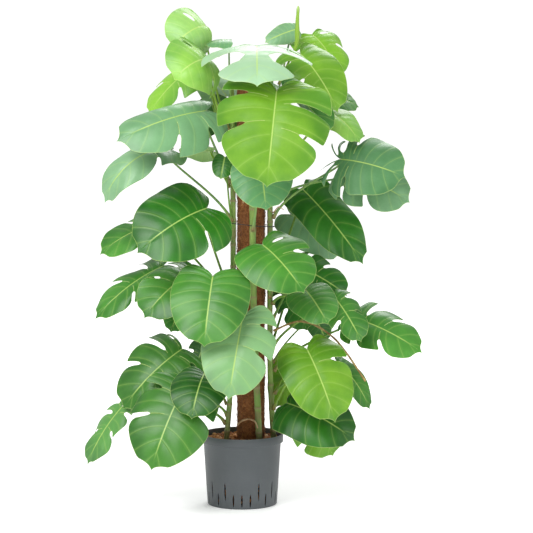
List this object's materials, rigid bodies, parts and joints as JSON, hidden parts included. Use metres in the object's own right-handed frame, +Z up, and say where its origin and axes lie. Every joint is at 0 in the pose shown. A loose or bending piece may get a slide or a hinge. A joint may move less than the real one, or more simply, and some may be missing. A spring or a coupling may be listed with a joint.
{
  "type": "potted monstera plant",
  "caption": "Climbing monstera with split glossy leaves on a coir pole, standing in a slotted grey hydroculture pot of clay granules.",
  "frame": {"origin": "centre of the pot's flat underside", "axes": "+Z up along the pole; -Y is the side the fullest leaves face; +X to the viewer's right"},
  "size_m": [0.8805, 0.4788, 1.3261],
  "materials": {
    "pot": "satin grey moulded plastic",
    "granules": "fired clay granules, red-brown",
    "coir": "coarse coconut fibre",
    "core": "bare wood",
    "stem": "green living stem",
    "tie": "black tie",
    "root": "dry aerial root",
    "cut_stalk": "dry cut stalk",
    "leaf_young": "thin glossy leaf, yellow-green",
    "leaf_mature": "thin glossy leaf, mid green",
    "leaf_deep": "thin glossy leaf, deep green",
    "leaf_blue": "thin glossy leaf, pale blue-green sheen"
  },
  "bodies": {
    "root": {"pot": "pot", "granules": "granules", "coir_pole": "coir", "pole_core": "core", "stem_left": "stem", "stem_centre": "stem", "stem_right": "stem", "tie": "tie", "root_pale": "root", "root_left": "root", "root_right": "root", "cut_stalk": "cut_stalk", "new_leaf": "leaf_young", "leaf_crown_tip_left": "leaf_young", "leaf_crown_left": "leaf_young", "leaf_crown_left_hanging": "leaf_young", "leaf_upper_left_dark": "leaf_deep", "leaf_crown_front": "leaf_blue", "leaf_crown_flat": "leaf_blue", "leaf_crown_right_upright": "leaf_blue", "leaf_crown_right_fold": "leaf_young", "leaf_crown_right_hanging": "leaf_young", "leaf_right_of_centre": "leaf_mature", "leaf_centre_large": "leaf_young", "leaf_left_large": "leaf_blue", "leaf_left_drooping": "leaf_blue", "leaf_right_pale": "leaf_young", "leaf_right_large": "leaf_blue", "leaf_right_large_low": "leaf_blue", "leaf_left_under": "leaf_young", "leaf_left_small_dark": "leaf_deep", "leaf_right_behind": "leaf_mature", "leaf_left_mid_large": "leaf_deep", "leaf_left_mid_behind": "leaf_mature", "leaf_left_long": "leaf_mature", "leaf_left_low_split": "leaf_mature", "leaf_big_round": "leaf_mature", "leaf_left_low_dark": "leaf_deep", "leaf_centre_mid": "leaf_mature", "leaf_right_back_grey": "leaf_blue", "leaf_right_mid_dark": "leaf_deep", "leaf_right_mid_lobes": "leaf_deep", "leaf_low_right_dark": "leaf_deep", "leaf_low_right_front": "leaf_mature", "leaf_hanging_pale": "leaf_mature", "leaf_far_right_split": "leaf_mature", "leaf_centre_small": "leaf_blue", "leaf_low_left_back": "leaf_mature", "leaf_low_left_large": "leaf_mature", "leaf_low_left_inner": "leaf_deep", "leaf_low_mid_dark": "leaf_deep", "leaf_low_centre": "leaf_mature", "leaf_far_left_low": "leaf_mature", "leaf_low_right_main": "leaf_young", "leaf_low_right_round": "leaf_deep", "leaf_low_right_under": "leaf_young", "leaf_right_back_pale": "leaf_young", "leaf_right_narrow": "leaf_mature", "leaf_right_low_tip": "leaf_deep", "leaf_crown_back_pale": "leaf_blue"}
  },
  "joints": []
}
